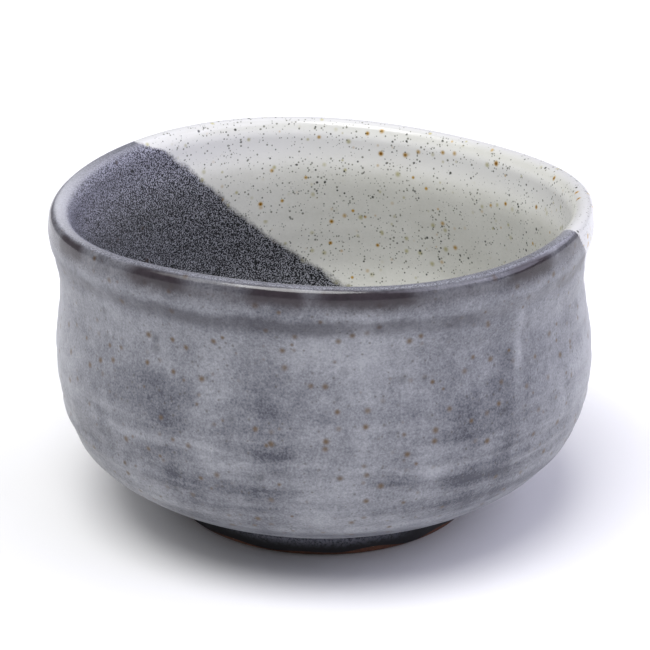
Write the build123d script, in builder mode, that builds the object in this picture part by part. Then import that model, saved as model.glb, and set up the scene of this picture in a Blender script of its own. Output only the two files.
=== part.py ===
from build123d import *
import math
import os

# Matcha bowl: a thrown stoneware tea bowl on a trimmed foot ring, dipped in two glazes.
# Millimetres, +Z up, origin at the centre of the face that the foot ring stands on.
# The front of the bowl faces -Y.

# ---------------------------------------------------------------- overall sizes
height = 72.5             # standing face to the crest of the lip
rim_radius = 60.8         # outermost of the rolled lip
belly_radius = 61.2       # widest of the body
belly_height = 36.5       # where the body is widest
foot_radius = 36.2        # glazed outside of the foot ring

# ---------------------------------------------------------------- lip and neck
lip_thickness = 5.2       # across the lip, at its outermost
lip_drop = 4.6            # crest down to the outermost of the lip
lip_roll = 2.2            # crest inwards from the outermost of the lip
neck_drop = 16.2          # crest down to the shallow neck under the lip
neck_depth = 1.6          # how far the neck lies inside the lip
neck_wall = 4.7           # wall at the neck

# ---------------------------------------------------------------- wall, floor and foot
belly_wall = 6.2          # wall at the belly
floor_thickness = 5.6     # clay and glaze above the foot ring
foot_height = 5.0         # foot ring, standing face to the joint with the body
foot_width = 5.6          # foot ring, across its standing face
foot_draft = 1.0          # how much the recess narrows on its way up
foot_arris = 0.7          # rounding of the standing face's two edges
hollow_size = 2.1         # hollow where the foot meets the underside of the body
recess_crown = 0.9        # how far the recess is dished up at its centre

# ---------------------------------------------------------------- glazes
glaze_thickness = 0.6     # both dips
well_glaze_thickness = 0.5
bare_line = 1.2           # the glaze stops this far above the standing face
dip_direction = 54.7      # degrees from +X towards +Y, the side the white dip is on
dip_offset = 8.7          # from the axis to the dip line, at the crest
dip_lean = 48.1           # degrees, how far the dip line's plane leans from level

# ---------------------------------------------------------------- shape of the two heels
underside_slope = 12.0          # degrees, the underside where it leaves the foot
heel_share = (0.675, 0.28)      # the outer heel's place: out and up from the foot to the belly
heel_slope = 41.0               # degrees
inner_heel_share = (0.855, 0.27)   # the inner heel's place: out and up from the floor to the belly
inner_heel_slope = 40.0         # degrees
floor_edge_share = (0.44, 0.014)   # where the floor starts to rise
floor_edge_slope = 5.0          # degrees

neck_radius = rim_radius - neck_depth
inner_belly_radius = belly_radius - belly_wall
floor_height = foot_height + floor_thickness
clay_foot_radius = foot_radius - glaze_thickness
recess_foot_radius = clay_foot_radius - foot_width
recess_top_radius = recess_foot_radius - foot_draft


def between(start, end, share):
    """The point at this share of the way out and of the way up from start to end."""
    out, rise = share
    return (start[0] + out * (end[0] - start[0]), start[1] + rise * (end[1] - start[1]))


def toward(degrees):
    """A direction, in degrees up from outwards."""
    return Vector(math.cos(math.radians(degrees)), math.sin(math.radians(degrees)))


def two_arcs(start, start_way, end, end_way):
    """Two arcs that leave start one way, meet smoothly and reach end the other way."""
    span = Vector(*end) - Vector(*start)
    both = start_way + end_way
    bend = 2 * (1 - start_way.dot(end_way))
    if bend < 1e-9:
        reach = span.dot(span) / (4 * span.dot(end_way))
    else:
        along = span.dot(both)
        reach = (math.sqrt(along**2 + bend * span.dot(span)) - along) / bend
    meeting = (Vector(*start) + Vector(*end) + (start_way - end_way) * reach) / 2
    first = TangentArc(start, meeting, tangent=start_way)
    second = TangentArc(meeting, end, tangent=first % 1)
    return [first, second]


def moved_in(edge):
    """The edge of the clay under an edge of the glaze."""
    ends = []
    for place in (0, 1):
        point = edge @ place
        along = edge % place
        ends.append((point.X - glaze_thickness * along.Y, point.Y + glaze_thickness * along.X))
    return TangentArc(*ends, tangent=edge % 0)


# ---------------------------------------------------------------- the glazed outline
# Half of the bowl's section, radius across and height up, from the foot over the lip to the floor.
# Each entry is a place that the outline passes through and the way it runs there.
foot_top = (foot_radius, foot_height)
hollow_end = (foot_radius + hollow_size, foot_height + hollow_size)
belly = (belly_radius, belly_height)
floor_centre = (0, floor_height)
belly_inside = (inner_belly_radius, belly_height)
places = (
    (foot_top, 90),
    (hollow_end, underside_slope),
    (between(hollow_end, belly, heel_share), heel_slope),
    (belly, 90),
    ((neck_radius, height - neck_drop), 90),
    ((rim_radius, height - lip_drop), 90),
    ((rim_radius - lip_roll, height), 180),
    ((rim_radius - lip_thickness, height - lip_drop), 270),
    ((neck_radius - neck_wall, height - neck_drop), 270),
    (belly_inside, 270),
    (between(floor_centre, belly_inside, inner_heel_share), 180 + inner_heel_slope),
    (between(floor_centre, belly_inside, floor_edge_share), 180 + floor_edge_slope),
    (floor_centre, 180),
)
glazed_outline = []
for (start, start_way), (end, end_way) in zip(places, places[1:]):
    glazed_outline.extend(two_arcs(start, toward(start_way), end, toward(end_way)))
clay_outline = [moved_in(edge) for edge in glazed_outline]

os.makedirs("parts", exist_ok=True)
dish_middle = (recess_top_radius / 2, foot_height + recess_crown * 0.75)
dish_top = (0, foot_height + recess_crown)

# ---------------------------------------------------------------- clay
# The thrown body: wall, lip and floor, dished under the floor inside the foot ring.
with BuildPart() as stoneware_body:
    with BuildSketch(Plane.XZ):
        with BuildLine() as under_floor:
            Line((0, floor_height - glaze_thickness), dish_top)
            ThreePointArc(dish_top, dish_middle, (recess_top_radius, foot_height))
            Line((recess_top_radius, foot_height), (clay_foot_radius, foot_height))
        make_face(clay_outline + under_floor.edges())
    revolve(axis=Axis.Z)
stoneware_body.part.label = "stoneware_body"

# The foot ring, luted under the body. Its standing face is bare clay.
with BuildPart() as foot_ring:
    with BuildSketch(Plane.XZ):
        with BuildLine():
            Polyline(
                (recess_foot_radius, 0),
                (clay_foot_radius, 0),
                (clay_foot_radius, foot_height),
                (recess_top_radius, foot_height),
                close=True,
            )
        make_face()
    revolve(axis=Axis.Z)
    standing_edges = foot_ring.edges().filter_by(GeomType.CIRCLE).group_by(Axis.Z)[0]
    fillet(standing_edges, radius=foot_arris)
foot_ring.part.label = "foot_ring"

# ---------------------------------------------------------------- glazes
# The bowl was held at a lean over the glaze, so the dip line lies in one leaning plane.
heading = math.radians(dip_direction)
lean = math.radians(dip_lean)
dip_side = Vector(math.cos(heading), math.sin(heading), 0)
dip_plane = Plane(
    origin=dip_side * dip_offset + Vector(0, 0, height),
    x_dir=Vector(-math.sin(heading), math.cos(heading), 0),
    z_dir=dip_side * math.sin(lean) + Vector(0, 0, math.cos(lean)),
)

with BuildSketch(Plane.XZ) as coat_section:
    with BuildLine() as coat_ends:
        Line((foot_radius, bare_line), foot_top)
        Line(floor_centre, (0, floor_height - glaze_thickness))
        Line((clay_foot_radius, foot_height), (clay_foot_radius, bare_line))
        Line((clay_foot_radius, bare_line), (foot_radius, bare_line))
    make_face(glazed_outline + clay_outline + coat_ends.edges())

with BuildPart() as white_glaze:
    revolve(coat_section.sketch, axis=Axis.Z)
    split(bisect_by=dip_plane, keep=Keep.TOP)
white_glaze.part.label = "white_glaze"

with BuildPart() as indigo_glaze:
    revolve(coat_section.sketch, axis=Axis.Z)
    split(bisect_by=dip_plane, keep=Keep.BOTTOM)
indigo_glaze.part.label = "indigo_glaze"

# The glaze that stayed in the recess when the standing face was wiped.
wall_share = bare_line / foot_height
wall_foot_radius = recess_foot_radius - foot_draft * wall_share
with BuildPart() as foot_well_glaze:
    with BuildSketch(Plane.XZ):
        with BuildLine():
            Line(dish_top, (0, foot_height + recess_crown - well_glaze_thickness))
            ThreePointArc(
                (0, foot_height + recess_crown - well_glaze_thickness),
                (dish_middle[0], dish_middle[1] - well_glaze_thickness),
                (recess_top_radius - well_glaze_thickness, foot_height - well_glaze_thickness),
            )
            Polyline(
                (recess_top_radius - well_glaze_thickness, foot_height - well_glaze_thickness),
                (wall_foot_radius - well_glaze_thickness, bare_line),
                (wall_foot_radius, bare_line),
                (recess_top_radius, foot_height),
            )
            ThreePointArc(dish_top, dish_middle, (recess_top_radius, foot_height))
        make_face()
    revolve(axis=Axis.Z)
foot_well_glaze.part.label = "foot_well_glaze"

for piece in (stoneware_body, foot_ring, indigo_glaze, white_glaze, foot_well_glaze):
    export_step(piece.part, f"parts/{piece.part.label}.step")
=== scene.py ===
import math

import bpy
import numpy as np
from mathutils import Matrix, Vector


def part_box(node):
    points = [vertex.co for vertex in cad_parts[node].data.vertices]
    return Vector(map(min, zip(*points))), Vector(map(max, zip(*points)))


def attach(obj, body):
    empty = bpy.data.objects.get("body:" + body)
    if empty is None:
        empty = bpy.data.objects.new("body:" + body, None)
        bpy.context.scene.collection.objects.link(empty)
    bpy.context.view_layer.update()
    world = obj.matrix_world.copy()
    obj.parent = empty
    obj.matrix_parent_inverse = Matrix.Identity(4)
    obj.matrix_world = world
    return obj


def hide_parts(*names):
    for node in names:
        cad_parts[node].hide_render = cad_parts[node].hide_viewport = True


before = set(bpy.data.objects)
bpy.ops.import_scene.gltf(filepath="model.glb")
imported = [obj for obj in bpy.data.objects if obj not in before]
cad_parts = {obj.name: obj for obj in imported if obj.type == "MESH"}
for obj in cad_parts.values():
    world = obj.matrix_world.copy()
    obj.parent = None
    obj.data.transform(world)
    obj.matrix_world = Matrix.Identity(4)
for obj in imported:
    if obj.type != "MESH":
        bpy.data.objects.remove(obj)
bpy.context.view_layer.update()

# Matcha bowl. Lengths are millimetres until a mesh or a light is made; MM turns them into metres.
MM = 0.001

# ---------------------------------------------------------------- sizes that the frame gives
GLAZE_LOW, GLAZE_HIGH = (np.array(corner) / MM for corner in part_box("indigo_glaze"))
FOOT_HIGH, CLAY_HIGH, WELL_HIGH = (
    np.array(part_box(node)[1]) / MM for node in ("foot_ring", "stoneware_body", "foot_well_glaze")
)

HEIGHT = GLAZE_HIGH[2]                      # standing face to the mean crest of the lip
BELLY_RADIUS = -GLAZE_LOW[0]
BARE_LINE = GLAZE_LOW[2]                    # the glaze stops this far above the standing face
FOOT_HEIGHT = FOOT_HIGH[2]
CLAY_FOOT_RADIUS = FOOT_HIGH[0]
GLAZE = HEIGHT - CLAY_HIGH[2]               # thickness of the dipped glazes
FOOT_RADIUS = CLAY_FOOT_RADIUS + GLAZE
WELL_CROWN = WELL_HIGH[2]                   # ceiling of the recess at its centre

# ---------------------------------------------------------------- sizes of the section, as in the CAD
RIM_RADIUS = 60.8
LIP_THICKNESS = 5.2
LIP_DROP = 4.6
LIP_ROLL = 2.2
NECK_DROP = 16.2
NECK_DEPTH = 1.6
NECK_WALL = 4.7
BELLY_HEIGHT = 36.5
BELLY_WALL = 6.2
FLOOR_THICKNESS = 5.6
FOOT_WIDTH = 5.6
FOOT_DRAFT = 1.0
FOOT_ARRIS = 0.7
HOLLOW_SIZE = 2.1
WELL_GLAZE = 0.5
UNDERSIDE_SLOPE = 12.0
HEEL_SHARE = (0.675, 0.28)
HEEL_SLOPE = 41.0
INNER_HEEL_SHARE = (0.855, 0.27)
INNER_HEEL_SLOPE = 40.0
FLOOR_EDGE_SHARE = (0.44, 0.014)
FLOOR_EDGE_SLOPE = 5.0
DIP_DIRECTION = 54.7
DIP_OFFSET = 8.7
DIP_LEAN = 48.1
RECESS_RADIUS = CLAY_FOOT_RADIUS - FOOT_WIDTH       # at the standing face
RECESS_TOP = RECESS_RADIUS - FOOT_DRAFT             # at the recess's ceiling

# ---------------------------------------------------------------- the potter's hand
# Each is (count round the bowl, size, direction in degrees). They fade out below HAND_START.
LIP_LOBES = ((1, 0.25, 205.0), (2, 0.33, 111.0), (3, 0.43, 77.0), (4, 0.36, 19.0))
LIP_WAVES = ((1, 0.22, 214.0), (2, 0.69, 130.0), (3, 0.64, 358.0), (4, 0.12, 339.0))
HAND_START = 35.0
RING_SIZE = (0.03, 0.07)    # throwing rings outside: everywhere, and what the low wall adds
INNER_RING_SIZE = 0.012
UNEVEN_SIZE = (0.05, 0.05)  # slow unevenness: everywhere, and what the outside adds
# Grooves round the outside, as (depth below the crest, half width, size).
GROOVES = ((9.5, 1.6, -0.35), (16.5, 1.4, -0.18))
DENT = (-33.5, 57.0)        # degrees from the front, height: a fingertip's dent, with a painted highlight in it
DENT_SHAPE = (0.09, 5.0, -0.5)      # half width in radians, half height, size
CREASE = (42.0, 54.0)       # an upright crease, with a painted highlight along its top
CREASE_RISE = 9.0           # its half height
# The crease's ridge and the furrow beside it, as (turn from CREASE and half width in radians, size).
CREASE_FOLDS = ((0.0, 0.035, 0.35), (-0.10, 0.07, -0.35))
DIP_WANDER = 0.25           # raggedness of the dip line
# Where the white glaze slid along the lip: degrees from +X, half width in radians, from and to height, size.
DIP_SLIP = (138.0, 0.3, 69.0, 73.0, 3.6)
BARE_WANDER = 0.22          # unevenness of the edge of the bare clay

# Clouds in the dark glaze, as (degrees from the front, height, half width, half height, lightness). Some
# rows are painted highlights and painted reflection instead, as marked.
GLAZE_CLOUDS_AND_PAINTED_LIGHT = (
    # The next two rows are painted highlights: upright bands of light low on the front wall.
    (-2, 22, 9, 24, 0.24),
    (21, 28, 6, 24, 0.14),
    (-35, 44, 19, 11, -0.27),
    (32, 43, 17, 11, -0.28),
    (31, 27, 22, 11, -0.24),
    (-33, 28, 22, 11, -0.27),
    (52, 22, 14, 9, -0.25),
    (-20, 16, 20, 6, -0.15),
    (-48, 57, 14, 7, 0.16),
    (50, 57, 12, 7, 0.12),
    (-2, 59, 24, 7, 0.32),
    # The next two rows are painted reflection: the wall made paler where it is seen edge-on at the left and
    # right.
    (-82, 40, 28, 34, 0.52),
    (82, 40, 28, 34, 0.52),
    # The next two rows are painted highlights, in the dent and along the crease.
    (DENT[0], DENT[1], 2.6, 6.5, 0.75),
    (CREASE[0], CREASE[1], 2.6, 12.0, 0.85),
    (CREASE[0] + 9, CREASE[1], 6, 9, -0.14),
    (128, 40, 20, 12, -0.15),
    (-128, 36, 18, 12, -0.18),
    (-100, 30, 9, 22, 0.16),
)

# Where the band below the lip is darkest, as (degrees from the front, half length).
DARK_LIP = ((-61, 9), (-34, 12), (-9, 10), (8, 17), (44, 11), (95, 16), (-110, 22), (-160, 14))

# ---------------------------------------------------------------- camera, as the bowl was seen
VIEW_ELEVATION = 22.4
VIEW_DISTANCE = 437.3
VIEW_AIM = (0.26, 0.0, 40.45)
LENS = 105.25
SENSOR = 36.0

AROUND = 304                                # columns of the skin round the bowl


# ================================================================ section of the bowl
def toward(degrees):
    return np.array([math.cos(math.radians(degrees)), math.sin(math.radians(degrees))])


def between(start, end, share):
    return (start[0] + share[0] * (end[0] - start[0]), start[1] + share[1] * (end[1] - start[1]))


def arc_points(start, way, end, count):
    """Points on the arc that leaves start in the direction way and ends at end, without end."""
    start, end = np.array(start, float), np.array(end, float)
    left = np.array([-way[1], way[0]])
    span = end - start
    bulge = 2 * span.dot(left)
    if abs(bulge) < 1e-9:
        return [(start + span * step / count, way) for step in range(count)]
    radius = span.dot(span) / bulge
    centre = start + left * radius
    first = start - centre
    turn = 2 * math.atan2(span.dot(left), span.dot(way))
    points = []
    for step in range(count):
        angle = turn * step / count
        spin = np.array([[math.cos(angle), -math.sin(angle)], [math.sin(angle), math.cos(angle)]])
        points.append((centre + spin @ first, spin @ way))
    return points


def two_arcs(start, start_way, end, end_way, count):
    """Points on the two arcs that join the places start and end, without end."""
    span = np.array(end, float) - np.array(start, float)
    both = start_way + end_way
    bend = 2 * (1 - start_way.dot(end_way))
    if bend < 1e-9:
        reach = span.dot(span) / (4 * span.dot(end_way))
    else:
        along = span.dot(both)
        reach = (math.sqrt(along**2 + bend * span.dot(span)) - along) / bend
    meeting = (np.array(start) + np.array(end) + (start_way - end_way) * reach) / 2
    first = arc_points(start, start_way, meeting, count)
    half_turn = math.atan2(
        (meeting - start).dot(np.array([-start_way[1], start_way[0]])), (meeting - start).dot(start_way)
    )
    way = toward(math.degrees(math.atan2(start_way[1], start_way[0]) + 2 * half_turn))
    return first + arc_points(meeting, way, end, count)


def section(step):
    """The glazed outline, foot over the lip to the floor's centre, as points, directions and lengths.

    step scales how far apart the points lie.
    """
    neck_radius = RIM_RADIUS - NECK_DEPTH
    foot_top = (FOOT_RADIUS, FOOT_HEIGHT)
    hollow_end = (FOOT_RADIUS + HOLLOW_SIZE, FOOT_HEIGHT + HOLLOW_SIZE)
    belly = (BELLY_RADIUS, BELLY_HEIGHT)
    floor_centre = (0.0, FOOT_HEIGHT + FLOOR_THICKNESS)
    belly_inside = (BELLY_RADIUS - BELLY_WALL, BELLY_HEIGHT)
    places = (
        (foot_top, 90, 3),
        (hollow_end, UNDERSIDE_SLOPE, 10),
        (between(hollow_end, belly, HEEL_SHARE), HEEL_SLOPE, 11),
        (belly, 90, 9),
        ((neck_radius, HEIGHT - NECK_DROP), 90, 6),
        ((RIM_RADIUS, HEIGHT - LIP_DROP), 90, 5),
        ((RIM_RADIUS - LIP_ROLL, HEIGHT), 180, 5),
        ((RIM_RADIUS - LIP_THICKNESS, HEIGHT - LIP_DROP), 270, 6),
        ((neck_radius - NECK_WALL, HEIGHT - NECK_DROP), 270, 10),
        (belly_inside, 270, 11),
        (between(floor_centre, belly_inside, INNER_HEEL_SHARE), 180 + INNER_HEEL_SLOPE, 10),
        (between(floor_centre, belly_inside, FLOOR_EDGE_SHARE), 180 + FLOOR_EDGE_SLOPE, 8),
        (floor_centre, 180, 0),
    )
    glazed_foot = FOOT_HEIGHT - BARE_LINE
    rows = [(np.array([FOOT_RADIUS, BARE_LINE + glazed_foot * k / 4]), toward(90)) for k in range(4)]
    for (start, start_way, count), (end, end_way, _) in zip(places, places[1:]):
        rows += two_arcs(start, toward(start_way), end, toward(end_way), max(2, round(count / step)))
    rows.append((np.array(floor_centre), toward(180)))
    points = np.array([row[0] for row in rows])
    ways = np.array([row[1] for row in rows])
    lengths = np.concatenate([[0], np.cumsum(np.linalg.norm(np.diff(points, axis=0), axis=1))])
    crest_length = lengths[np.argmax(points[:, 1])]
    return points, ways, crest_length - lengths


def smooth(low, high, value):
    share = np.clip((value - low) / (high - low), 0, 1)
    return share * share * (3 - 2 * share)


def bump(centre, width, value):
    """A smooth hill of height 1."""
    return np.exp(-(((value - centre) / width) ** 2))


def swell(terms, angle):
    return sum(size * np.cos(count * (angle - math.radians(heading))) for count, size, heading in terms)


class Wander:
    """Smooth seeded noise over direction and height, made of sine waves that close round the bowl."""

    def __init__(self, seed, counts, rises, terms):
        draw = np.random.default_rng(seed)
        self.count = draw.integers(counts[0], counts[1] + 1, terms)
        self.rise = draw.uniform(rises[0], rises[1], terms) * draw.choice([-1, 1], terms)
        self.phase = draw.uniform(0, 2 * math.pi, terms)

    def __call__(self, angle, height):
        total = np.zeros(np.broadcast(angle, height).shape)
        for count, rise, phase in zip(self.count, self.rise, self.phase):
            total += np.sin(count * angle + rise * height + phase)
        return total / math.sqrt(len(self.count) / 2)


RIDGES = Wander(11, (0, 2), (0.75, 1.9), 7)         # throwing rings
PATTING = Wander(23, (2, 7), (0.03, 0.16), 9)       # slow unevenness of the wall
DIP_EDGE = Wander(37, (3, 34), (0.05, 0.6), 12)     # wandering of the dip line
BARE_EDGE = Wander(53, (3, 17), (0.0, 0.0), 7)


def angle_from_front(degrees):
    """Direction of a place on the wall, counted from the front towards +X."""
    return math.radians(degrees - 90)


def turned(angle, centre):
    """Smallest turn from centre to angle."""
    return (angle - centre + math.pi) % (2 * math.pi) - math.pi


def relief(angle, height, crest):
    """How far the skin stands proud of the plain section."""
    outside = smooth(-0.5, 2.5, crest)
    inside = smooth(0.5, 4.0, -crest)
    low_wall = bump(24, 12, height)
    ring_size = RING_SIZE[0] + RING_SIZE[1] * low_wall
    proud = outside * ring_size * RIDGES(angle, height) * smooth(6, 12, height)
    proud += inside * INNER_RING_SIZE * RIDGES(angle + 2.0, height * 0.6) * smooth(2, 14, -crest)
    uneven_size = UNEVEN_SIZE[0] + UNEVEN_SIZE[1] * outside
    proud += uneven_size * PATTING(angle, height) * smooth(9, 20, height)
    for drop, half_width, size in GROOVES:
        proud += size * outside * bump(HEIGHT - drop, half_width, height)
    half_width, half_height, size = DENT_SHAPE
    dent_turn = turned(angle, angle_from_front(DENT[0]))
    proud += size * outside * bump(0, half_width, dent_turn) * bump(DENT[1], half_height, height)
    crease_turn = turned(angle, angle_from_front(CREASE[0]))
    folds = sum(size * bump(at, half_width, crease_turn) for at, half_width, size in CREASE_FOLDS)
    return proud + outside * bump(CREASE[1], CREASE_RISE, height) * folds


def skin(rows, columns, inset):
    """Places on the bowl's skin, moved into the material by inset, for rows of the section and angles."""
    points, ways, crest = rows
    angle = columns[None, :]
    plain_height = points[:, 1][:, None]
    share = smooth(HAND_START, HEIGHT, plain_height)
    away = relief(angle, plain_height, crest[:, None]) - inset
    radius = points[:, 0][:, None] + away * ways[:, 1][:, None]
    height = plain_height - away * ways[:, 0][:, None]
    lobe = share * swell(LIP_LOBES, angle) * points[:, 0][:, None] / RIM_RADIUS
    radius = np.maximum(radius + lobe, 0)
    height = height + share * swell(LIP_WAVES, angle)
    return np.stack([radius * np.cos(angle), radius * np.sin(angle), height + 0 * angle], axis=-1)


def dip_distance(place):
    """Distance of places from the dip line's plane, positive on the white side."""
    heading, lean = math.radians(DIP_DIRECTION), math.radians(DIP_LEAN)
    side = np.array([math.cos(heading), math.sin(heading), 0])
    normal = side * math.sin(lean) + np.array([0, 0, math.cos(lean)])
    start = side * DIP_OFFSET + np.array([0, 0, HEIGHT])
    angle = np.arctan2(place[..., 1], place[..., 0])
    wander = DIP_WANDER * DIP_EDGE(angle, place[..., 2])
    slip_heading, half_width, low, high, size = DIP_SLIP
    wander += size * smooth(low, high, place[..., 2]) * bump(math.radians(slip_heading), half_width, angle)
    return (place - start) @ normal + wander


# ================================================================ meshes
# Bands of the coats' bake maps: (start, size) of the seen face and of the face against the clay, and
# the two edges of the face between them.
BAKE_SEEN = (0.04, 0.94)
BAKE_HIDDEN = (0.01, 0.005)
BAKE_EDGE = (0.03, 0.02)


class MeshMaker:
    """Collects vertices with their facts, and faces with their places in the bake map."""

    def __init__(self):
        self.places, self.facts, self.faces, self.maps, self.sharp = [], [], [], [], set()

    def vertex(self, place, **facts):
        self.places.append(place)
        self.facts.append(facts)
        return len(self.places) - 1

    def face(self, corners, bake):
        self.faces.append(corners)
        self.maps.append(bake)

    def strip(self, lower, upper, low, high):
        """Faces between two rings of vertices; a ring that repeats one vertex is a pole."""
        around = len(lower)
        for col in range(around):
            after = (col + 1) % around
            left, right = col / around, (col + 1) / around
            corners = {}
            corners.setdefault(lower[col], (left, low))
            corners.setdefault(lower[after], (right, low))
            corners.setdefault(upper[after], (right, high))
            corners.setdefault(upper[col], (left, high))
            self.face(list(corners), list(corners.values()))

    def finish(self, name):
        mesh = bpy.data.meshes.new(name)
        mesh.from_pydata([tuple(np.array(place) * MM) for place in self.places], [], self.faces)
        uv = mesh.uv_layers.new(name="OFBake")
        corners = [corner for bake in self.maps for corner in bake]
        uv.data.foreach_set("uv", np.array(corners, np.float32).ravel())
        for fact in self.facts[0]:
            layer = mesh.attributes.new(fact, "FLOAT", "POINT")
            layer.data.foreach_set("value", np.array([facts[fact] for facts in self.facts], np.float32))
        mesh.polygons.foreach_set("use_smooth", [True] * len(mesh.polygons))
        if self.sharp:
            sharp = mesh.attributes.new("sharp_edge", "BOOLEAN", "EDGE")
            ends = [tuple(sorted(edge.vertices)) for edge in mesh.edges]
            sharp.data.foreach_set("value", [pair in self.sharp for pair in ends])
        mesh.validate()
        piece = bpy.data.objects.new(name, mesh)
        bpy.context.scene.collection.objects.link(piece)
        return piece


def coat_grid():
    """Grid over the coat: its two faces, how far each place is past the dip line, and from the crest."""
    rows = section(1.0)
    start = math.radians(DIP_DIRECTION + 180)
    columns = start + np.arange(AROUND) * 2 * math.pi / AROUND
    layers = [skin(rows, columns, inset) for inset in (0.0, GLAZE)]
    for layer in layers:
        layer[0, :, 2] += BARE_WANDER * BARE_EDGE(columns, 0 * columns)
    return layers, dip_distance(layers[0]), rows[2]


class Coat:
    """The part of the glaze coat on one side of the dip line, as a closed skin.

    A corner's key is (place, place, share): where an edge of the grid is cut, or a grid place itself.
    """

    def __init__(self, grid, sign, bake_span):
        self.layers, self.dip, self.crest = grid
        self.sign, self.bake_span = sign, bake_span
        self.last = len(self.crest) - 1
        self.run = (self.crest[0] - self.crest) / (self.crest[0] - self.crest[-1])
        self.maker, self.known, self.rim = MeshMaker(), {}, []

    def grid_place(self, row, col):
        return (row, 0 if row == self.last else col % AROUND)

    def bake_place(self, row, col):
        lower = int(min(math.floor(row), self.last - 1))
        along = self.run[lower] + (self.run[lower + 1] - self.run[lower]) * (row - lower)
        low, high = self.bake_span
        return ((col / AROUND - low) / (high - low), BAKE_SEEN[0] + BAKE_SEEN[1] * along)

    def corner(self, key, layer):
        """The vertex of a key, on one face of the coat."""
        if (key, layer) not in self.known:
            first, second, share = key
            place = self.layers[layer][first] * (1 - share) + self.layers[layer][second] * share
            dip = self.dip[first] * (1 - share) + self.dip[second] * share
            crest = self.crest[first[0]] * (1 - share) + self.crest[second[0]] * share
            self.known[(key, layer)] = self.maker.vertex(place, dip=dip, crest=crest)
        return self.known[(key, layer)]

    def kept_part(self, quad, signed):
        """The part of a quad on this coat's side, and the two cuts that bound it, by key."""
        polygon, cuts = {}, []
        for index, here in enumerate(quad):
            there = quad[(index + 1) % 4]
            v_here, v_there = signed[index], signed[(index + 1) % 4]
            first, second = self.grid_place(*here), self.grid_place(*there)
            if v_here > 0:
                polygon.setdefault((first, first, 0.0), here)
            if (v_here > 0) != (v_there > 0):
                share = v_here / (v_here - v_there)
                at = (here[0] + (there[0] - here[0]) * share, here[1] + (there[1] - here[1]) * share)
                key = (first, second, round(share, 9))
                if second < first:
                    key = (second, first, round(1 - share, 9))
                polygon.setdefault(key, at)
                cuts.append((key, at))
        return polygon, cuts

    def lay(self, row, col):
        """Both faces of the coat over one quad of the grid."""
        quad = [(row, col), (row, col + 1), (row + 1, col + 1), (row + 1, col)]
        signed = [self.sign * self.dip[self.grid_place(*place)] for place in quad]
        if max(signed) <= 0:
            return
        polygon, cuts = self.kept_part(quad, signed)
        if len(polygon) < 3:
            return
        bake = [self.bake_place(*at) for at in polygon.values()]
        seen = [self.corner(key, 0) for key in polygon]
        hidden = [self.corner(key, 1) for key in polygon]
        self.maker.face(seen, bake)
        start, size = BAKE_HIDDEN
        self.maker.face(hidden[::-1], [(u, start + size * v) for u, v in bake[::-1]])
        if len(cuts) == 2:
            self.rim.append((*cuts, list(polygon)))
        lowest = [(key, at) for key, at in polygon.items() if abs(at[0]) < 1e-9]
        if len(lowest) == 2:
            self.rim.append((*lowest, list(polygon)))

    def close(self, first, second, keys):
        """The face between the coat's two faces, along one edge of its rim."""
        if (keys.index(second[0]) - keys.index(first[0])) % len(keys) != 1:
            first, second = second, first
        a, b = first[0], second[0]
        side = [self.corner(b, 0), self.corner(a, 0), self.corner(a, 1), self.corner(b, 1)]
        u_a, u_b = self.bake_place(*first[1])[0], self.bake_place(*second[1])[0]
        upper, lower = BAKE_EDGE
        self.maker.face(side, [(u_b, upper), (u_a, upper), (u_a, lower), (u_b, lower)])
        self.maker.sharp.update((tuple(sorted(side[:2])), tuple(sorted(side[2:]))))

    def finish(self, name):
        for row in range(self.last):
            for col in range(AROUND):
                self.lay(row, col)
        for edge in self.rim:
            self.close(*edge)
        return self.maker.finish(name)


def turned_piece(name, outline, around, lift):
    """A closed ring or disc turned from a closed outline of (radius, height).

    Radius 0 makes a pole. lift raises each place by a little, for what the hand left uneven.
    """
    maker = MeshMaker()
    rings = []
    for radius, height in outline:
        if radius == 0:
            rings.append([maker.vertex((0, 0, height))] * around)
            continue
        ring = []
        for col in range(around):
            angle = 2 * math.pi * col / around
            raised = height + lift(radius, height, angle)
            ring.append(maker.vertex((radius * math.cos(angle), radius * math.sin(angle), raised)))
        rings.append(ring)
    lengths = [0.0]
    for a, b in zip(outline, outline[1:]):
        lengths.append(lengths[-1] + math.dist(a, b))
    if outline[0][0] != 0:
        rings.append(rings[0])
        lengths.append(lengths[-1] + math.dist(outline[-1], outline[0]))
    for lower, upper, low, high in zip(rings, rings[1:], lengths, lengths[1:]):
        maker.strip(lower, upper, low / lengths[-1], high / lengths[-1])
    return maker.finish(name)


def dish_height(radius):
    """Height of the recess's clay ceiling."""
    return FOOT_HEIGHT + (WELL_CROWN - FOOT_HEIGHT) * (1 - (radius / RECESS_TOP) ** 2)


def clay_body():
    """The clay under the dips, a hair inside them."""
    hair = 0.02
    around = 128
    ceiling_rings = 8
    points, ways, crest = section(2.0)
    keep = points[:, 1] >= FOOT_HEIGHT - 1e-6
    keep[0:4] = False
    columns = np.arange(around) * 2 * math.pi / around
    grid = skin((points[keep], ways[keep], crest[keep]), columns, GLAZE + hair)
    grid[0, :, 2] = FOOT_HEIGHT
    maker = MeshMaker()
    rings = [[maker.vertex(place) for place in ring] for ring in grid[:-1]]
    rings.append([maker.vertex(grid[-1, 0])] * around)
    below = [rings[0]]
    for share in np.linspace(1, 0, ceiling_rings + 1)[:-1]:
        radius = RECESS_TOP * share
        below.append([
            maker.vertex((radius * math.cos(a), radius * math.sin(a), dish_height(radius))) for a in columns
        ])
    below.append([maker.vertex((0, 0, dish_height(0)))] * around)
    strips = list(zip(rings, rings[1:])) + list(zip(below[1:], below))
    for number, (lower, upper) in enumerate(strips):
        maker.strip(lower, upper, number / len(strips), (number + 1) / len(strips))
    return maker.finish("clay_body")


def quarter(steps):
    """Angles of a quarter turn, from 0 to a right angle."""
    return [math.pi / 2 * step / (steps - 1) for step in range(steps)]


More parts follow.
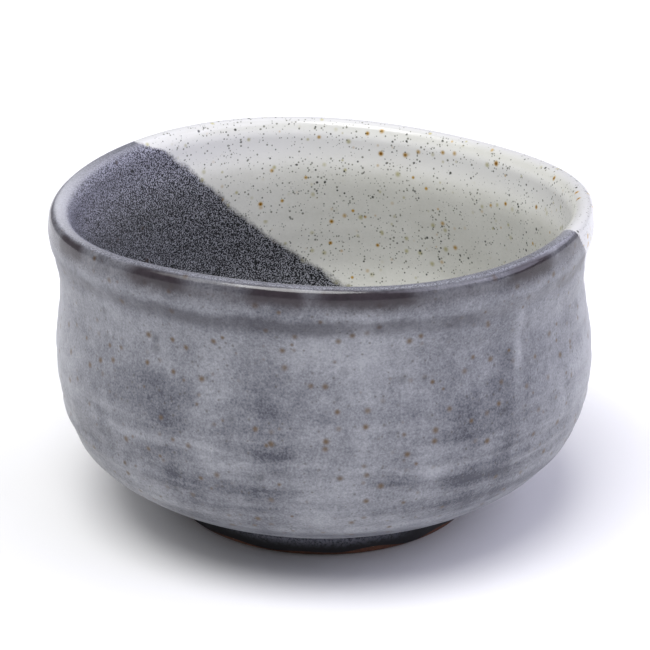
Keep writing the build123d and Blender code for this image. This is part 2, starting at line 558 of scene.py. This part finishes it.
def foot_ring_piece():
    """The foot ring's clay, with a standing face worn a little uneven."""
    turn = quarter(6)
    arris = FOOT_ARRIS
    outline = [(CLAY_FOOT_RADIUS - arris * (1 - math.sin(a)), arris * (1 - math.cos(a))) for a in turn]
    outline += [(CLAY_FOOT_RADIUS, arris + (FOOT_HEIGHT - arris) * k / 6) for k in range(1, 7)]
    for k in range(6):
        outline.append((RECESS_TOP + FOOT_DRAFT * k / 5, FOOT_HEIGHT + (arris - FOOT_HEIGHT) * k / 5))
    outline += [(RECESS_RADIUS + arris * (1 - math.cos(a)), arris * (1 - math.sin(a))) for a in turn[1:]]
    outline += [(RECESS_RADIUS + arris + (FOOT_WIDTH - 2 * arris) * k / 7, 0.0) for k in range(1, 7)]

    def worn(radius, height, angle):
        if height >= 0.01:
            return 0.0
        return float(max(0.05 * (1 + BARE_EDGE(np.array(angle * 3.0), np.array(0.0)) * 0.5), 0))

    return turned_piece("foot_ring_clay", outline, 192, worn)


def well_glaze_piece():
    """The recess's glaze, with the trimming tool's spiral showing through."""
    hair = 0.01
    spiral_pitch, spiral_size, nib_radius = 3.4, 0.10, 3.0
    foot = RECESS_RADIUS - FOOT_DRAFT * BARE_LINE / FOOT_HEIGHT
    inner_top = RECESS_TOP - WELL_GLAZE
    outline = [(0.0, dish_height(0) - WELL_GLAZE)]
    for k in range(1, 41):
        radius = inner_top * k / 40
        outline.append((radius, dish_height(radius * RECESS_TOP / inner_top) - WELL_GLAZE))
    for k in range(1, 6):
        out, down = (foot - RECESS_TOP) * k / 5, (BARE_LINE - FOOT_HEIGHT + WELL_GLAZE) * k / 5
        outline.append((inner_top + out, FOOT_HEIGHT - WELL_GLAZE + down))
    outline += [(foot, BARE_LINE), (RECESS_TOP, FOOT_HEIGHT - hair)]
    outline += [(RECESS_TOP * share, dish_height(RECESS_TOP * share) - hair) for share in (0.75, 0.5, 0.25)]
    outline.append((0.0, dish_height(0) - hair))

    def spiral(radius, height, angle):
        under = height < dish_height(radius) - WELL_GLAZE * 0.5
        if not under or radius > RECESS_TOP - 2 * WELL_GLAZE:
            return 0.0
        wave = math.sin(2 * math.pi * radius / spiral_pitch - angle)
        nib = math.exp(-((radius / nib_radius) ** 2))
        return spiral_size * wave * (1 - nib) * float(smooth(0, 4, radius))

    return turned_piece("foot_well_glaze_coat", outline, 160, spiral)


# ================================================================ materials
def srgb(red, green, blue):
    """A colour given as display values from 0 to 255."""
    channels = []
    for value in (red, green, blue):
        value = value / 255
        channels.append(value / 12.92 if value <= 0.04045 else ((value + 0.055) / 1.055) ** 2.4)
    return (*channels, 1.0)


# Specks, as (points per mm, largest radius, share of points that have one, softness, shift of the
# pattern, strength, colour).
WALL_SPECKS = (
    (0.18, 1.8, 0.5, 0.95, 45.0, 0.45, (46, 46, 52)),       # smudges
    (0.36, 1.15, 0.6, 0.9, 5.0, 0.9, (84, 62, 28)),         # iron spots
    (0.7, 0.5, 0.6, 0.8, 55.0, 0.6, (66, 60, 52)),
)
BASIN_SPECKS = (
    (0.45, 0.6, 0.5, 0.7, 17.0, 1.0, (9, 9, 10)),
    (0.2, 1.0, 0.5, 0.8, 23.0, 0.85, (54, 36, 20)),
)
WHITE_SPOTS = (
    (0.33, 1.05, 0.6, 0.9, 39.0, 0.65, (164, 156, 66)),     # green-yellow stains
    (0.33, 1.05, 0.5, 0.75, 37.0, 0.95, (186, 144, 20)),    # ochre spots
    (0.33, 0.6, 0.3, 0.85, 37.0, 0.95, (112, 58, 4)),       # their dark hearts
)
WHITE_SPECKS = (
    (1.25, 0.38, 0.8, 0.6, 3.0, 0.8, (84, 88, 66)),
    (0.58, 0.50, 0.6, 0.6, 29.0, 0.95, (36, 42, 30)),
)
CLAY_SPECKS = ((0.9, 0.3, 0.35, 0.35, 11.0, 1.0, (160, 140, 118)),)


class Graph:
    """A material's node tree, with one short method for each kind of node."""

    def __init__(self, name):
        self.material = bpy.data.materials.new(name)
        self.material.use_nodes = True
        self.tree = self.material.node_tree
        self.tree.nodes.clear()
        self.shader = self.node("ShaderNodeBsdfPrincipled")
        output = self.node("ShaderNodeOutputMaterial")
        self.tree.links.new(self.shader.outputs["BSDF"], output.inputs["Surface"])
        self.place = self.scaled(self.node("ShaderNodeTexCoord").outputs["Object"], (1 / MM,) * 3)

    def node(self, kind, **settings):
        made = self.tree.nodes.new(kind)
        for key, value in settings.items():
            setattr(made, key, value)
        return made

    def feed(self, socket, value):
        if isinstance(value, bpy.types.NodeSocket):
            self.tree.links.new(value, socket)
        else:
            socket.default_value = value

    def math(self, operation, *values):
        made = self.node("ShaderNodeMath", operation=operation)
        for socket, value in zip(made.inputs, values):
            self.feed(socket, value)
        return made.outputs[0]

    def add(self, *values):
        total = values[0]
        for value in values[1:]:
            total = self.math("ADD", total, value)
        return total

    def times(self, a, b):
        return self.math("MULTIPLY", a, b)

    def scaled(self, vector, factors):
        made = self.node("ShaderNodeVectorMath", operation="MULTIPLY")
        self.feed(made.inputs[0], vector)
        made.inputs[1].default_value = factors
        return made.outputs[0]

    def fact(self, name):
        return self.node("ShaderNodeAttribute", attribute_name=name).outputs["Fac"]

    def level(self):
        made = self.node("ShaderNodeSeparateXYZ")
        self.feed(made.inputs[0], self.place)
        return made.outputs["Z"]

    def moved(self, place, by):
        made = self.node("ShaderNodeVectorMath", operation="ADD")
        self.feed(made.inputs[0], place)
        made.inputs[1].default_value = by
        return made.outputs[0]

    def noise(self, per_mm, detail=3.0, rough=0.6, stretch=(1, 1, 1), twist=0.0, shift=0.0):
        """Soft noise from 0 to 1."""
        made = self.node("ShaderNodeTexNoise")
        place = self.place if stretch == (1, 1, 1) else self.scaled(self.place, stretch)
        if shift:
            place = self.moved(place, (shift, shift * 0.7, -shift))
        self.feed(made.inputs["Vector"], place)
        made.inputs["Scale"].default_value = per_mm
        made.inputs["Detail"].default_value = detail
        made.inputs["Roughness"].default_value = rough
        made.inputs["Distortion"].default_value = twist
        return made.outputs["Fac"]

    def cells(self, per_mm, shift):
        """Distance to the nearest of scattered points, and a random number for each point."""
        made = self.node("ShaderNodeTexVoronoi")
        self.feed(made.inputs["Vector"], self.moved(self.place, (shift, -shift, shift * 0.5)))
        made.inputs["Scale"].default_value = per_mm
        channel = self.node("ShaderNodeSeparateColor")
        self.feed(channel.inputs[0], made.outputs["Color"])
        return made.outputs["Distance"], channel.outputs["Red"]

    def ease(self, value, low, high, start=0.0, end=1.0):
        made = self.node("ShaderNodeMapRange", interpolation_type="SMOOTHSTEP")
        for socket, number in zip(made.inputs, (value, low, high, start, end)):
            self.feed(socket, number)
        return made.outputs[0]

    def mix(self, share, first, second):
        made = self.node("ShaderNodeMix", data_type="RGBA")
        self.feed(made.inputs[0], share)
        self.feed(made.inputs[6], first)
        self.feed(made.inputs[7], second)
        return made.outputs[2]

    def blend(self, share, first, second):
        made = self.node("ShaderNodeMix", data_type="FLOAT")
        self.feed(made.inputs[0], share)
        self.feed(made.inputs[2], first)
        self.feed(made.inputs[3], second)
        return made.outputs[0]

    def hill(self, value, centre, width):
        """1 at centre, falling to 0 at width away."""
        away = self.math("ABSOLUTE", self.math("SUBTRACT", value, centre))
        return self.ease(away, 0.0, width, 1.0, 0.0)

    def cloud(self, degrees, height, half_width, half_height, radius=BELLY_RADIUS):
        """1 at a place on the outer wall, falling to 0 at the edge of a patch round it."""
        angle = angle_from_front(degrees)
        centre = (radius * math.cos(angle), radius * math.sin(angle), height)
        away = self.node("ShaderNodeVectorMath", operation="SUBTRACT")
        self.feed(away.inputs[0], self.place)
        away.inputs[1].default_value = centre
        share = self.scaled(away.outputs[0], (1 / half_width, 1 / half_width, 1 / half_height))
        length = self.node("ShaderNodeVectorMath", operation="LENGTH")
        self.feed(length.inputs[0], share)
        return self.ease(length.outputs["Value"], 0.0, 1.0, 1.0, 0.0)

    def swing(self, value, size):
        """A noise turned into a push to either side of nought."""
        return self.times(self.math("SUBTRACT", value, 0.5), size)

    def band(self, value, start, full, fade, end):
        """1 between full and fade, 0 before start and after end."""
        return self.times(self.ease(value, start, full), self.ease(value, fade, end, 1.0, 0.0))

    def clamped(self, value):
        return self.math("MAXIMUM", self.math("MINIMUM", value, 1.0), 0.0)

    def dots(self, per_mm, radius_mm, share, soft, shift, cluster=None):
        """Scattered round specks. A share of the points have one, of half radius_mm to radius_mm."""
        distance, chance = self.cells(per_mm, shift)
        size = self.math("DIVIDE", self.math("SUBTRACT", chance, 1 - share), share)
        reach = self.times(self.add(0.45, self.times(size, 0.55)), radius_mm * per_mm)
        reach = self.times(reach, self.math("GREATER_THAN", chance, 1 - share))
        if cluster is not None:
            reach = self.times(reach, cluster)
        inner = self.times(reach, 1 - soft)
        return self.math("SUBTRACT", 1.0, self.ease(distance, inner, self.add(reach, 0.002)))

    def specked(self, colour, specks, cluster=None):
        """The colour with each of a table of specks over it."""
        for per_mm, radius_mm, share, soft, shift, strength, shade in specks:
            dots = self.dots(per_mm, radius_mm, share, soft, shift, cluster)
            colour = self.mix(self.times(dots, strength), colour, srgb(*shade))
        return colour

    def surface(self, colour, rough, height=None, depth_mm=0.0):
        self.feed(self.shader.inputs["Base Color"], colour)
        self.feed(self.shader.inputs["Roughness"], rough)
        if height is not None:
            made = self.node("ShaderNodeBump")
            made.inputs["Strength"].default_value = 1.0
            made.inputs["Distance"].default_value = depth_mm * MM
            self.feed(made.inputs["Height"], height)
            self.feed(self.shader.inputs["Normal"], made.outputs["Normal"])
        return self.material


def wall_colour(g, level):
    """The dark glaze outside: soft grey clouds, throwing streaks low down, brown iron spots; some of the
    clouds are painted highlights and painted reflection.
    """
    low_wall = g.ease(level, 52.0, 26.0)
    streaks = g.noise(1.0, 2.0, 0.5, stretch=(0.045, 0.045, 0.36), twist=0.3)
    runs = g.noise(1.0, 2.0, 0.5, stretch=(0.11, 0.11, 0.012), shift=4.0)
    tone = g.add(
        0.49,
        g.swing(g.noise(0.05, twist=0.5), 0.8),
        g.swing(g.noise(0.24, shift=9.0), 0.55),
        g.swing(g.noise(0.9, rough=0.65, shift=15.0), 0.5),
        g.swing(g.noise(2.2, 2.0), 0.95),
        g.times(g.swing(streaks, 1.15), g.add(0.18, g.times(low_wall, 0.82))),
        g.swing(runs, 0.6),
    )
    for degrees, height, half_width, half_height, lightness in GLAZE_CLOUDS_AND_PAINTED_LIGHT:
        tone = g.add(tone, g.times(g.cloud(degrees, height, half_width, half_height), lightness))
    colour = g.mix(g.clamped(tone), srgb(54, 56, 68), srgb(154, 156, 161))
    return g.specked(colour, WALL_SPECKS)


def basin_colour(g, crest):
    """The dark glaze inside: salt and pepper, paler towards the lip."""
    near_lip = g.ease(crest, -21.0, -4.0)
    salt = g.ease(g.noise(3.3, 1.0, shift=31.0), 0.46, 0.60)
    pepper = g.ease(g.noise(1.9, rough=0.8, shift=33.0), 0.38, 0.62)
    tone = g.add(
        0.30,
        g.swing(salt, 1.8),
        g.swing(pepper, 0.5),
        g.swing(g.noise(0.2, shift=9.0), 0.3),
        g.times(near_lip, 0.52),
    )
    dark = g.mix(near_lip, srgb(7, 8, 11), srgb(32, 33, 45))
    pale = g.mix(near_lip, srgb(162, 164, 170), srgb(176, 177, 190))
    return g.specked(g.mix(g.clamped(tone), dark, pale), BASIN_SPECKS)


def lip_bands(g, crest, colour, wander, fine):
    """The dark bands below the lip, and the pale lip where the glaze is thin, painted paler still at the
    left and right as a painted reflection where the lip is seen edge-on.
    """
    below = g.add(crest, wander, fine)
    patches = g.add(g.noise(0.045, 2.0, shift=41.0), g.swing(g.noise(0.3), 0.35))
    patchy = g.ease(patches, 0.36, 0.58)
    darkest = g.times(patchy, 0.35)
    for degrees, half_length in DARK_LIP:
        cloud = g.cloud(degrees, HEIGHT - 3, half_length, 9, RIM_RADIUS)
        darkest = g.math("MAXIMUM", darkest, g.ease(cloud, 0.0, 0.6))

    edge = g.add(crest, g.times(wander, 0.3), g.times(fine, 0.35))
    upper = g.times(g.ease(edge, 0.2, 1.7), g.ease(below, 3.6, 7.0, 1.0, 0.0))
    upper = g.times(upper, g.add(0.46, g.times(darkest, 0.50)))
    black = g.mix(g.noise(0.4, shift=6.0), srgb(16, 12, 15), srgb(52, 42, 48))
    colour = g.mix(upper, colour, black)

    lower = g.times(g.band(below, 7.0, 8.8, 10.0, 12.6), g.add(0.22, g.times(patchy, 0.45)))
    colour = g.mix(lower, colour, srgb(44, 42, 52))

    edge = g.add(crest, g.times(wander, 0.15), g.times(fine, 0.25))
    thin = g.band(edge, -3.6, -1.6, 0.1, 1.2)
    # Painted reflection: the thin-glazed lip is painted grey at the front and much paler at the left and
    # right, where it is seen edge-on.
    painted_edge_reflection = g.clamped(g.add(g.cloud(-84, 72, 44, 9), g.cloud(84, 72, 40, 9)))
    return g.mix(g.times(thin, 0.8), colour, g.mix(painted_edge_reflection, srgb(104, 105, 110), srgb(186, 187, 190)))


def foot_colour(g, level, fine):
    """The glaze on the foot: near black, with a grey haze high on the front."""
    haze = g.times(g.ease(g.noise(0.11, shift=13.0), 0.42, 0.66), 0.35)
    haze = g.clamped(g.add(haze, g.times(g.cloud(-3, FOOT_HEIGHT, 26, 6.5, FOOT_RADIUS), 1.5)))
    haze = g.times(haze, g.ease(g.add(level, g.times(fine, 0.8)), 1.8, 4.6))
    haze = g.times(haze, g.ease(g.noise(1.6, rough=0.7, shift=14.0), 0.3, 0.62))
    return g.mix(haze, srgb(10, 9, 13), srgb(112, 114, 126))


def indigo_colour(g, crest, level):
    """The dark blue-grey glaze, inside and out."""
    outside = g.ease(crest, 0.0, 1.5)
    wander = g.swing(g.noise(0.09, shift=3.0), 3.0)
    fine = g.swing(g.noise(0.9, shift=8.0), 1.4)
    colour = g.mix(outside, basin_colour(g, crest), wall_colour(g, level))
    colour = lip_bands(g, crest, colour, wander, fine)
    foot = g.ease(g.add(level, g.times(wander, 0.12)), 6.0, 7.6, 1.0, 0.0)
    return g.mix(g.times(foot, outside), colour, foot_colour(g, level, fine))


def white_colour(g, crest):
    """The warm white glaze with clustered iron specks and ochre spots, and a painted band of light just
    under the inner lip.
    """
    tone = g.add(
        0.5,
        g.swing(g.noise(0.06, shift=7.0), 1.2),
        g.swing(g.noise(1.4, rough=0.7, shift=12.0), 0.9),
    )
    colour = g.mix(g.clamped(tone), srgb(218, 218, 207), srgb(238, 238, 229))
    # Painted light: a near-white band a few mm under the inner lip lifts the shade below the lip and stands
    # for reflection there.
    colour = g.mix(g.band(crest, -16.0, -7.0, -5.5, -2.0), colour, srgb(252, 252, 247))
    colour = g.mix(g.ease(crest, -4.0, -0.5), colour, srgb(200, 200, 198))
    cluster = g.ease(g.noise(0.3, shift=19.0), 0.38, 0.62, 0.45, 1.1)
    return g.specked(g.specked(colour, WHITE_SPOTS), WHITE_SPECKS, cluster)


def glaze_material(name):
    """Both dips. Each piece shows its own side of the dip line, and the line's finest raggedness."""
    g = Graph(name)
    crest, level = g.fact("crest"), g.level()
    ragged = g.add(
        g.swing(g.noise(0.45, 2.0, shift=50.0), 1.5),
        g.swing(g.noise(1.8, 2.0, 0.7, shift=51.0), 1.3),
    )
    sharpness = g.ease(crest, -2.0, 1.0, 0.32, 1.0)
    white = g.ease(g.times(g.add(g.fact("dip"), ragged), sharpness), -0.28, 0.28)
    colour = g.mix(white, indigo_colour(g, crest, level), white_colour(g, crest))
    grain = g.noise(2.2, rough=0.7, shift=61.0)
    pull = g.noise(0.3, rough=0.5, shift=71.0)
    lip = g.hill(crest, 1.5, 7.0)
    dull = g.add(0.26, g.times(grain, 0.16), g.times(pull, 0.08), g.times(lip, -0.24))
    rough = g.blend(white, dull, g.add(0.13, g.times(grain, 0.10)))
    grain_height = g.times(g.blend(white, 0.3, 0.12), g.add(1.0, g.times(lip, -0.7)))
    height = g.add(g.times(grain, grain_height), g.times(pull, 0.7))
    return g.surface(colour, rough, height, 0.08)


def clay_material(name):
    """Bare stoneware: reddish brown, gritty, matte."""
    g = Graph(name)
    grit = g.noise(1.8, 4.0, 0.75)
    tone = g.add(g.times(grit, 0.6), g.times(g.noise(0.09, shift=5.0), 0.5))
    colour = g.mix(g.ease(tone, 0.3, 0.8), srgb(62, 38, 28), srgb(124, 82, 60))
    return g.surface(g.specked(colour, CLAY_SPECKS), g.add(0.7, g.times(grit, 0.2)), grit, 0.15)


def well_material(name):
    """The recess's glaze: clouded blue-grey, glossy."""
    g = Graph(name)
    grain = g.noise(2.4, rough=0.75)
    tone = g.add(g.times(grain, 0.5), g.times(g.noise(0.08, 4.0, twist=0.5), 0.6))
    colour = g.mix(g.ease(tone, 0.3, 0.8), srgb(30, 31, 38), srgb(104, 110, 122))
    return g.surface(colour, g.add(0.24, g.times(grain, 0.2)), grain, 0.06)


def floor_material():
    g = Graph("studio_floor")
    tone = g.noise(0.01, 2.0, 0.5)
    return g.surface(g.mix(tone, srgb(230, 230, 230), srgb(232, 232, 232)), 0.9)


# ================================================================ studio
# Far soft lights, as (name, direction from the bowl, power, colour).
NEUTRAL, WARM, COOL = (1.0, 1.0, 1.0), (1.0, 1.0, 0.99), (0.90, 0.89, 1.12)
LIGHTS = (
    ("over_light", (-105, -210, 650), 2.28, NEUTRAL),
    ("left_light", (-420, -160, 640), 0.68, WARM),
    ("right_low_light", (620, -60, 330), 0.70, COOL),
    ("right_front_light", (430, -250, 570), 0.56, COOL),
    ("right_back_light", (480, 360, 490), 0.56, COOL),
    ("back_light", (0, 330, 690), 0.28, NEUTRAL),
)
LIGHT_SPREAD = 36           # degrees
WORLD_COLOUR = (0.95, 0.94, 1.02, 1.0)
WORLD_STRENGTH = 0.30
FLOOR_HALF = 3.0            # metres
FLOOR_DROP = 0.0002         # metres, so that the foot never lies in the floor's plane


def look_along(way):
    """Rotation that points an object's -Z along way with its +X level."""
    flat = math.hypot(way[0], way[1])
    return (math.atan2(flat, -way[2]), 0.0, math.atan2(-way[0], way[1]))


def soft_light(name, place, power, colour):
    data = bpy.data.lights.new(name, "SUN")
    data.angle = math.radians(LIGHT_SPREAD)
    data.energy = power
    data.color = colour
    light = bpy.data.objects.new(name, data)
    light.location = np.array(place) * MM
    light.rotation_euler = look_along(-np.array(place, float))
    bpy.context.scene.collection.objects.link(light)


def studio_floor():
    mesh = bpy.data.meshes.new("studio_floor")
    corners = [(x * FLOOR_HALF, y * FLOOR_HALF, 0) for x, y in ((-1, -1), (1, -1), (1, 1), (-1, 1))]
    mesh.from_pydata(corners, [], [(0, 1, 2, 3)])
    floor = bpy.data.objects.new("studio_floor", mesh)
    floor.location.z = -FLOOR_DROP
    floor.data.materials.append(floor_material())
    bpy.context.scene.collection.objects.link(floor)


def studio_camera():
    data = bpy.data.cameras.new("camera")
    data.lens = LENS
    data.sensor_width = SENSOR
    data.clip_start, data.clip_end = 0.01, 20.0
    camera = bpy.data.objects.new("camera", data)
    up = math.radians(VIEW_ELEVATION)
    aim = np.array(VIEW_AIM)
    place = aim + VIEW_DISTANCE * np.array([0, -math.cos(up), math.sin(up)])
    camera.location = place * MM
    camera.rotation_euler = look_along(aim - place)
    bpy.context.scene.collection.objects.link(camera)
    bpy.context.scene.camera = camera


def studio():
    scene = bpy.context.scene
    scene.view_settings.view_transform = "Standard"
    scene.view_settings.look = "None"
    world = bpy.data.worlds.new("studio")
    world.use_nodes = True
    background = world.node_tree.nodes["Background"]
    background.inputs["Color"].default_value = WORLD_COLOUR
    background.inputs["Strength"].default_value = WORLD_STRENGTH
    scene.world = world
    studio_floor()
    for light in LIGHTS:
        soft_light(*light)
    studio_camera()


# ================================================================ the bowl
glazed = coat_grid()
indigo = Coat(glazed, -1.0, (0.0, 1.0)).finish("indigo_glaze_coat")
white = Coat(glazed, 1.0, (0.14, 0.86)).finish("white_glaze_coat")

for piece, material, node, slot in (
    (indigo, glaze_material, "indigo_glaze", "indigo_glaze"),
    (white, glaze_material, "white_glaze", "white_glaze"),
    (clay_body(), clay_material, "stoneware_body", "body_clay"),
    (foot_ring_piece(), clay_material, "foot_ring", "foot_clay"),
    (well_glaze_piece(), well_material, "foot_well_glaze", "well_glaze"),
):
    piece.data.materials.append(material(slot))
    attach(piece, "root")
    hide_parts(node)

studio()
